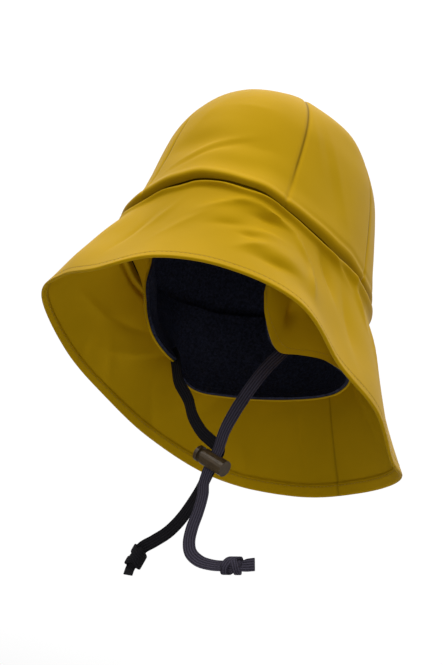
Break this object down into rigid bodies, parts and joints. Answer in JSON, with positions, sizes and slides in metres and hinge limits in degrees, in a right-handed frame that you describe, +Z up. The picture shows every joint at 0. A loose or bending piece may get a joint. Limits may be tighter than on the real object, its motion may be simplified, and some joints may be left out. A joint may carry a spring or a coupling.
{
  "type": "souwester rain hat with ear and neck flap",
  "caption": "Soft rain hat with a gored crown, a brim long at the back, a fleece-lined ear and neck flap, and a webbing chin strap with a cord lock.",
  "frame": {"origin": "middle of the crown's base ring, where the hat sits on a head", "axes": "+Z up through the crown, the wearer faces -Y, the wearer's left is +X"},
  "size_m": [0.2681, 0.2929, 0.3755],
  "materials": {
    "coated_cloth": "satin polyurethane-coated cloth",
    "fleece": "matt brushed fleece",
    "webbing": "ribbed woven webbing",
    "lock_plastic": "moulded, slightly worn"
  },
  "bodies": {
    "root": {"crown_gore_front": "coated_cloth", "crown_gore_front_left": "coated_cloth", "crown_gore_back_left": "coated_cloth", "crown_gore_back": "coated_cloth", "crown_gore_back_right": "coated_cloth", "crown_gore_front_right": "coated_cloth", "brim": "coated_cloth", "flap_shell": "coated_cloth", "crown_lining": "fleece", "flap_lining": "fleece", "strap_left": "webbing", "strap_end_left": "webbing", "strap_knot_left": "webbing", "strap_right": "webbing", "strap_end_right": "webbing", "strap_knot_right": "webbing", "cordlock_barrel": "lock_plastic"},
    "plunger": {"cordlock_plunger": "lock_plastic"}
  },
  "joints": [
    {"name": "plunger_slide", "type": "slide", "parent": "root", "child": "plunger", "axis": [0.9121, 0, -0.4099], "range_m": [0, 0.003], "stiffness_N_per_m": 150, "springref_m": -0.002}
  ]
}
